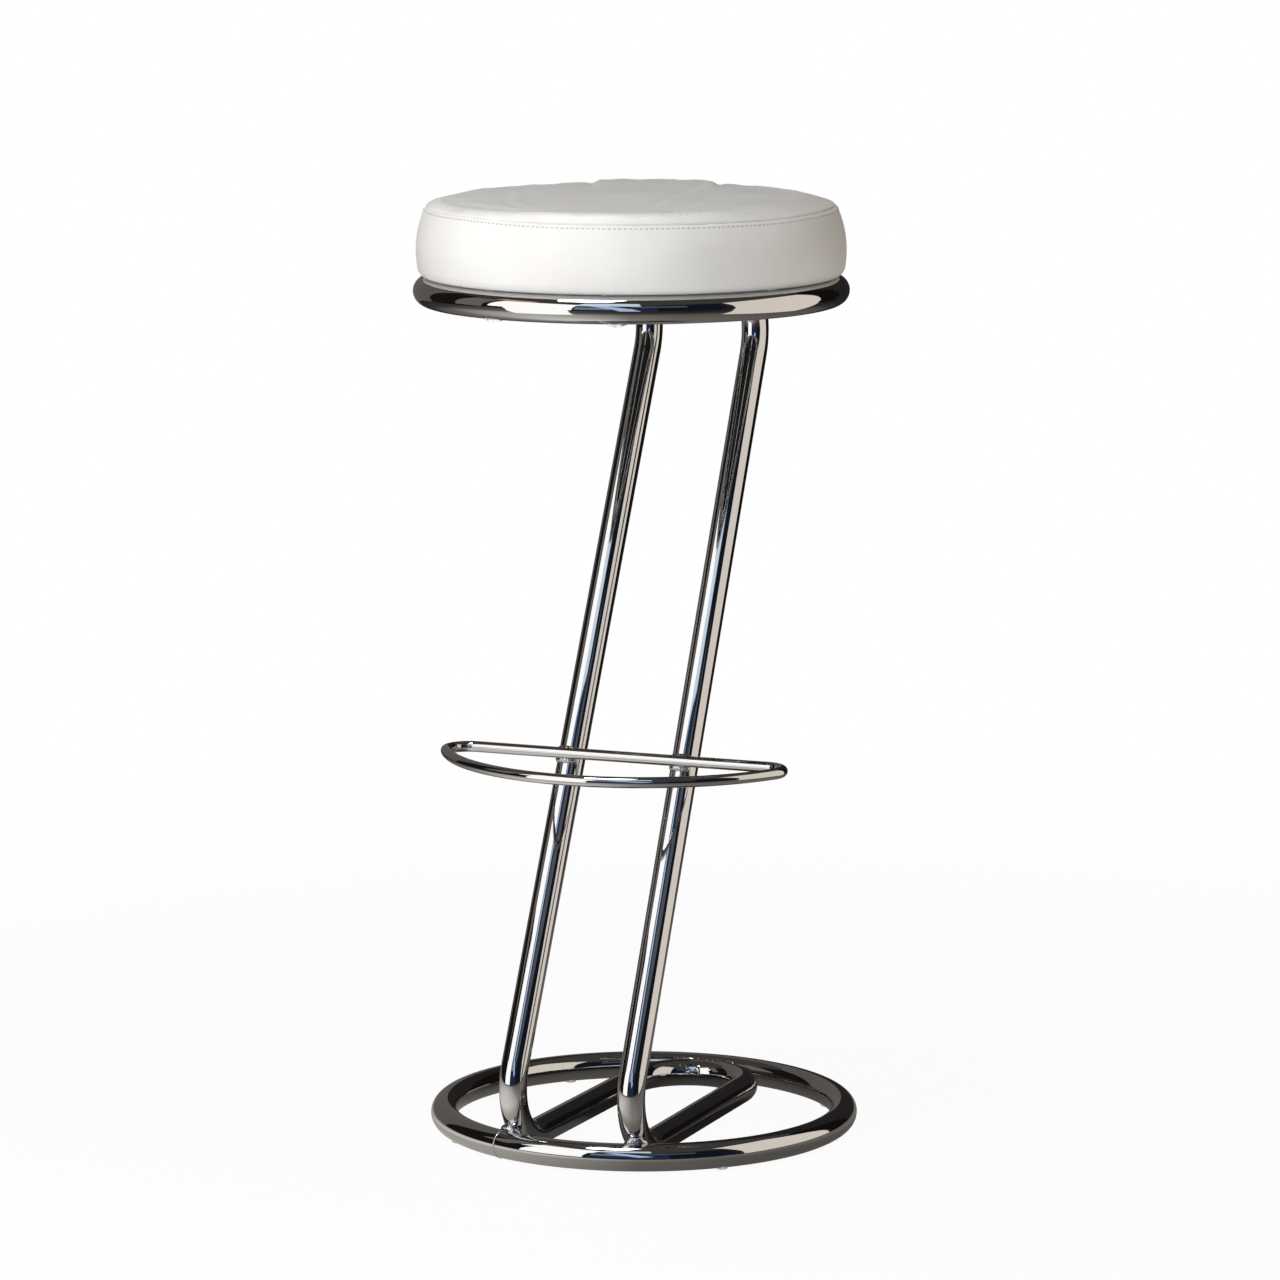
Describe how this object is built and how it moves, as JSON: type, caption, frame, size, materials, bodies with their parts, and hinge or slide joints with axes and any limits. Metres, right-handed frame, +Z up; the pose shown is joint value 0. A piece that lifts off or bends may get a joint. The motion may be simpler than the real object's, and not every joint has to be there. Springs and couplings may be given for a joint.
{
  "type": "bar stool",
  "caption": "Fixed bar stool with a round padded seat, a bent tube frame leaning back between a base ring and a seat ring, and a rod footrest.",
  "frame": {"origin": "on the floor, under the middle of the bounding box", "axes": "+Z up, -Y towards the footrest, X across the symmetry plane"},
  "size_m": [0.3909, 0.4164, 0.8578],
  "materials": {
    "chrome": "polished chrome plating",
    "glide_plastic": "translucent moulded plastic",
    "plywood": "raw birch plywood",
    "foam": "cut polyurethane foam",
    "white_leather": "fine-grained white leather, satin",
    "black_lining": "black spunbond cloth",
    "zinc_steel": "bright zinc plating"
  },
  "bodies": {
    "root": {"base_ring": "chrome", "frame_tube": "chrome", "seat_ring": "chrome", "footrest_loop": "chrome", "base_front_welds": "chrome", "base_rear_welds": "chrome", "seat_front_welds": "chrome", "seat_rear_welds": "chrome", "footrest_welds": "chrome", "ring_seam_welds": "chrome", "floor_glides": "glide_plastic", "seat_board": "plywood", "seat_foam": "foam", "cover_top_panel": "white_leather", "cover_side_band": "white_leather", "underside_lining": "black_lining", "cover_staples": "zinc_steel", "tee_nuts": "zinc_steel", "seat_screws": "zinc_steel", "screw_washers": "zinc_steel"}
  },
  "joints": []
}
